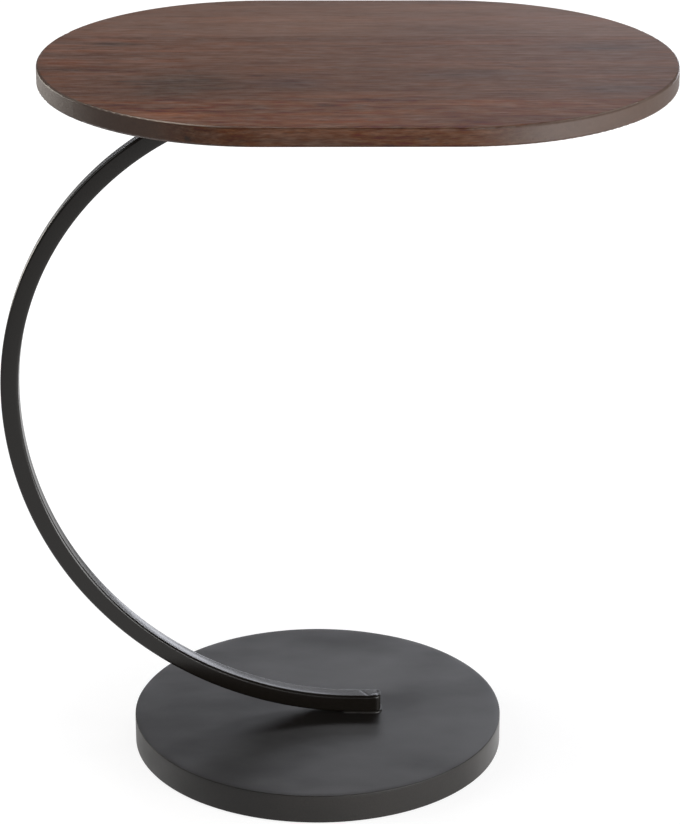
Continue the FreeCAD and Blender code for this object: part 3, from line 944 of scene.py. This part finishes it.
# Each layer of the grain: how many to the metre along it and across it, its detail and roughness.
GRAIN_LAYERS = {
    "frays": (9.0, 100.0, 4.0, 0.6),
    "streaks": (6.0, 115.0, 4.0, 0.6),
    "veins": (9.0, 240.0, 3.0, 0.6),
    "fibres": (34.0, 230.0, 3.0, 0.65),
    "strands": (60.0, 400.0, 3.0, 0.65),
    "dashes": (38.0, 230.0, 2.0, 0.5),
    "hairs": (90.0, 1500.0, 3.0, 0.6),
    "pores": (110.0, 2300.0, 1.0, 0.5),
}

# Each board's own brown, where its grain is cut from, and the places where the stain took
# differently: colour, strength, middle (x, y), and reach along and across the grain.
BOARDS = {
    "tabletop_board_front": {
        "shift": (0.9, 0.11, -0.52), "brown": (0.128, 0.048, 0.021), "figure": 1.5,
        "zones": [
            (ORANGE, 0.8, -0.124, -0.111, 0.057, 0.004), (ORANGE, 0.8, -0.112, -0.146, 0.036, 0.014),
            (ORANGE, 0.9, 0.150, -0.118, 0.081, 0.010), (ORANGE, 0.8, 0.031, -0.110, 0.008, 0.004),
            (RUST, 0.5, -0.021, -0.154, 0.067, 0.009), (MAUVE, 0.3, 0.100, -0.152, 0.055, 0.010),
            (UMBER, 0.6, -0.052, -0.120, 0.024, 0.007), (UMBER, 0.8, 0.006, -0.117, 0.011, 0.005),
            (UMBER, 1.0, -0.035, -0.182, 0.085, 0.007),
        ],
    },
    "tabletop_board_mid_front": {
        "shift": (2.3, -0.05, -0.55), "brown": (0.103, 0.0455, 0.0265), "figure": 1.1,
        "zones": [
            (OLIVE, 0.9, -0.103, -0.056, 0.048, 0.026), (OLIVE, 0.7, -0.117, -0.085, 0.028, 0.012),
            (MAUVE, 0.9, -0.022, -0.055, 0.036, 0.016), (SLATE, 0.9, 0.119, -0.036, 0.050, 0.011),
            (ORANGE, 0.6, 0.020, -0.091, 0.065, 0.009), (SLATE, 0.9, 0.229, -0.075, 0.035, 0.012),
            (PALE, 0.5, 0.163, -0.078, 0.046, 0.0015), (PALE, 0.6, 0.116, -0.0195, 0.090, 0.0025),
        ],
    },
    "tabletop_board_mid_back": {
        "shift": (4.1, 0.08, -0.54), "brown": (0.116, 0.054, 0.034), "figure": 1.1,
        "zones": [
            (RUST, 0.7, -0.200, -0.003, 0.022, 0.009), (RUST, 0.6, -0.170, 0.062, 0.030, 0.005),
            (UMBER, 0.7, -0.163, 0.050, 0.022, 0.006), (SLATE, 0.9, 0.225, 0.040, 0.045, 0.014),
            (RUST, 0.4, 0.130, 0.055, 0.060, 0.008), (PALE, 0.3, -0.080, 0.012, 0.080, 0.006),
        ],
    },
    "tabletop_board_back": {
        "shift": (6.7, -0.19, -0.53), "brown": (0.142, 0.075, 0.052), "figure": 0.8,
        "zones": [
            (PALE, 0.5, -0.020, 0.110, 0.090, 0.030), (PALE, 0.4, 0.120, 0.150, 0.080, 0.018),
            (RUST, 0.4, -0.170, 0.076, 0.030, 0.006), (PALE, 0.5, 0.217, 0.071, 0.036, 0.005),
            (MAUVE, 0.3, 0.120, 0.092, 0.050, 0.012),
        ],
    },
}


def mix_colour(tree, share, first, second):
    made = node(tree, "Mix", {0: share}, data_type="RGBA")
    for socket, value in ((6, first), (7, second)):
        if isinstance(value, bpy.types.NodeSocket):
            tree.links.new(value, made.inputs[socket])
        else:
            made.inputs[socket].default_value = (*value, 1.0)
    return made.outputs[2]


def grain_places(tree, place, shift):
    """Places that drift with the grain, on the board and in the trunk that it was sawn from."""
    waves = node(tree, "TexNoise", {"Vector": stretch(tree, place, DRIFT_WAVES), "Scale": 1.0})
    aside = (0.0, GRAIN_DRIFT, GRAIN_DRIFT)
    on_board = vectors(tree, "MULTIPLY_ADD", waves.outputs[1], aside, place)
    return on_board, vectors(tree, "ADD", on_board, shift)


def growth_rings(tree, in_trunk):
    """Cloudy values that change outward from the trunk's middle, which lies along X."""
    radius = length(tree, vectors(tree, "MULTIPLY", in_trunk, (0.0, 1.0, 1.0)))
    inputs = {"W": maths(tree, "MULTIPLY", radius, RINGS), "Scale": 1.0, "Detail": 3.0}
    return node(tree, "TexNoise", inputs, noise_dimensions="1D").outputs[0]


def zone(tree, on_board, frays, strength, x, y, along, across):
    """How far the wood belongs to a zone: its edge frays along the grain."""
    away = vectors(tree, "SUBTRACT", on_board, (x, y, 0.0))
    reach = length(tree, stretch(tree, away, (1.0 / along, 1.0 / across, 0.0)))
    reach = maths(tree, "MULTIPLY_ADD", frays, 1.5, reach)
    return grade(tree, reach, 1.1, 2.1, strength, 0.0)


def zoned_brown(tree, layers, on_board, brown, zones):
    """The board's brown, with rusty streaks, and its zones broken up by the veins."""
    colour = mix_colour(tree, grade(tree, layers["streaks"], 0.5, 0.8, 0.0, 0.5), brown, RUST)
    veined = grade(tree, layers["veins"], 0.40, 0.60, 0.6, 1.0)
    for shade, *where in zones:
        share = maths(tree, "MULTIPLY", zone(tree, on_board, layers["frays"], *where), veined)
        colour = mix_colour(tree, share, colour, shade)
    return colour


def side_stain(tree, layers, upright, colour):
    """Upright faces are darker, with glints where a strand catches the light."""
    colour = mix_colour(tree, upright, colour, SIDE_SHADE)
    glints = grade(tree, layers["strands"], 0.42, 0.68, 0.0, GLINT_SHARE)
    return mix_colour(tree, maths(tree, "MULTIPLY", glints, upright), colour, SIDE_GLINT)


def figured(tree, layers, rings, upright, figure, colour):
    """The colour with the wood's light and dark in it, as strong as the board's figure is."""
    light = product(
        tree,
        uneven(tree, rings, spread=0.25, change=0.08),
        uneven(tree, layers["streaks"], spread=0.25, change=0.16),
        uneven(tree, layers["hairs"], spread=0.3, change=0.15),
        grade(tree, layers["veins"], 0.54, 0.70, 1.0, 0.80),
        grade(tree, layers["dashes"], 0.63, 0.73, 1.0, 0.65),
    )
    colour = scaled(tree, colour, maths(tree, "MULTIPLY_ADD", light, figure, 1.0 - figure))
    calm = maths(tree, "MULTIPLY_ADD", upright, -SIDE_CALM, 1.0)
    for bundle in (layers["fibres"], layers["strands"]):
        lighter = grade(tree, bundle, 0.25, 0.75, -FIBRE * figure, FIBRE * figure)
        colour = vectors(tree, "ADD", colour, maths(tree, "MULTIPLY", lighter, calm))
    return vectors(tree, "MAXIMUM", colour, PORE_DARK_AND_ARRIS_SHADE)


def painted_highlight_share(tree, place):
    """How strong the painted highlight is: in two stretches of the front's upper arris."""
    axes = node(tree, "SeparateXYZ", {0: place}).outputs
    share = 0.0
    for start, full, fade, end, strength in PAINTED_HIGHLIGHT_STRETCHES:
        starting = grade(tree, axes["X"], start, full, 0.0, strength)
        ending = grade(tree, axes["X"], end, fade)
        share = maths(tree, "ADD", share, maths(tree, "MULTIPLY", starting, ending))
    top_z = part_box("tabletop_board_front")[1].z
    start, full, fade, end = (top_z - depth for depth in PAINTED_HIGHLIGHT_DEPTHS)
    return product(tree, share, grade(tree, axes["Y"], *PAINTED_HIGHLIGHT_FRONT),
                   grade(tree, axes["Z"], start, full), grade(tree, axes["Z"], end, fade))


def arris_shade_and_highlight(tree, place, level, colour):
    """Painted shade on the eased arrises, and a painted highlight on two stretches along the front.
    """
    eased = product(tree, grade(tree, level, 0.1, 0.4), grade(tree, level, 0.995, 0.9), PAINTED_ARRIS_SHADE)
    colour = mix_colour(tree, eased, colour, PORE_DARK_AND_ARRIS_SHADE)
    return mix_colour(tree, painted_highlight_share(tree, place), colour, PAINTED_HIGHLIGHT)


def end_grain_and_sheen(tree, normal, colour):
    """Faces across the grain show its ends, duller and greyer, and lighter as a painted sheen."""
    along_grain = node(tree, "VectorMath", {0: normal, 1: GRAIN_LINE}, operation="DOT_PRODUCT")
    facing = maths(tree, "ABSOLUTE", along_grain.outputs["Value"])
    return mix_colour(tree, grade(tree, facing, 0.10, 0.45, 0.0, END_SHARE), colour, END_GRAIN_AND_SHEEN)


def stained_wood(name, shift, brown, figure, zones):
    """One board's wood: zones of colour, growth rings, streaks, fibres and open pores, along X."""
    material, tree = new_material(name)
    texture = node(tree, "TexCoord").outputs
    on_board, in_trunk = grain_places(tree, texture["Object"], shift)
    layers = {}
    for layer, (along, across, detail, roughness) in GRAIN_LAYERS.items():
        layers[layer] = speckle(tree, in_trunk, (along, across, across), detail, roughness)
    pits = grade(tree, layers["pores"], 0.60, 0.72)
    level = node(tree, "SeparateXYZ", {0: texture["Normal"]}).outputs["Z"]
    level = maths(tree, "ABSOLUTE", level)
    upright = grade(tree, level, 0.3, 0.8, SIDE_SHARE, 0.0)

    colour = zoned_brown(tree, layers, on_board, brown, zones)
    colour = side_stain(tree, layers, upright, colour)
    colour = figured(tree, layers, growth_rings(tree, in_trunk), upright, figure, colour)
    # painted shade on the eased arrises, and a painted highlight along two stretches of the front's
    colour = arris_shade_and_highlight(tree, texture["Object"], level, colour)
    # the ends' greyer tone, partly a painted sheen
    colour = end_grain_and_sheen(tree, texture["Normal"], colour)
    colour = mix_colour(tree, maths(tree, "MULTIPLY", pits, PORE_SHARE), colour, PORE_DARK_AND_ARRIS_SHADE)

    height = maths(tree, "SUBTRACT", maths(tree, "MULTIPLY", layers["hairs"], 0.35), pits)
    height = maths(tree, "MULTIPLY_ADD", layers["strands"], 1.5, height)
    smoothest = WOOD_ROUGHNESS - ROUGHNESS_CHANGE
    roughest = WOOD_ROUGHNESS + ROUGHNESS_CHANGE
    return dress(material, {
        "Base Color": colour, "Specular IOR Level": WOOD_SPECULAR,
        "Roughness": grade(tree, layers["hairs"], 0.2, 0.8, smoothest, roughest),
        "Normal": bump(tree, height, strength=0.35, depth=GRAIN_DEPTH),
    })


def finish_node(name, material):
    """Gives a CAD piece its finish and leaves its shape alone."""
    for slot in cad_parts[name].material_slots:
        slot.material = material


for board_name, look in BOARDS.items():
    finish_node(board_name, stained_wood(board_name + "_wood", **look))

# --- the inserts, washers and bolts --------------------------------------------------------------
# Threaded inserts sit in blind holes in the wood. Button-head bolts with a hex socket go up through
# plain washers and the mounting plate into them.

finish_node("threaded_inserts", zinc_plate)
eased_piece("mounting_washers", "bolt_washers", WASHER_EDGE, zinc_plate, "zinc_hardware")
finish_node("mounting_bolts", black_oxide)
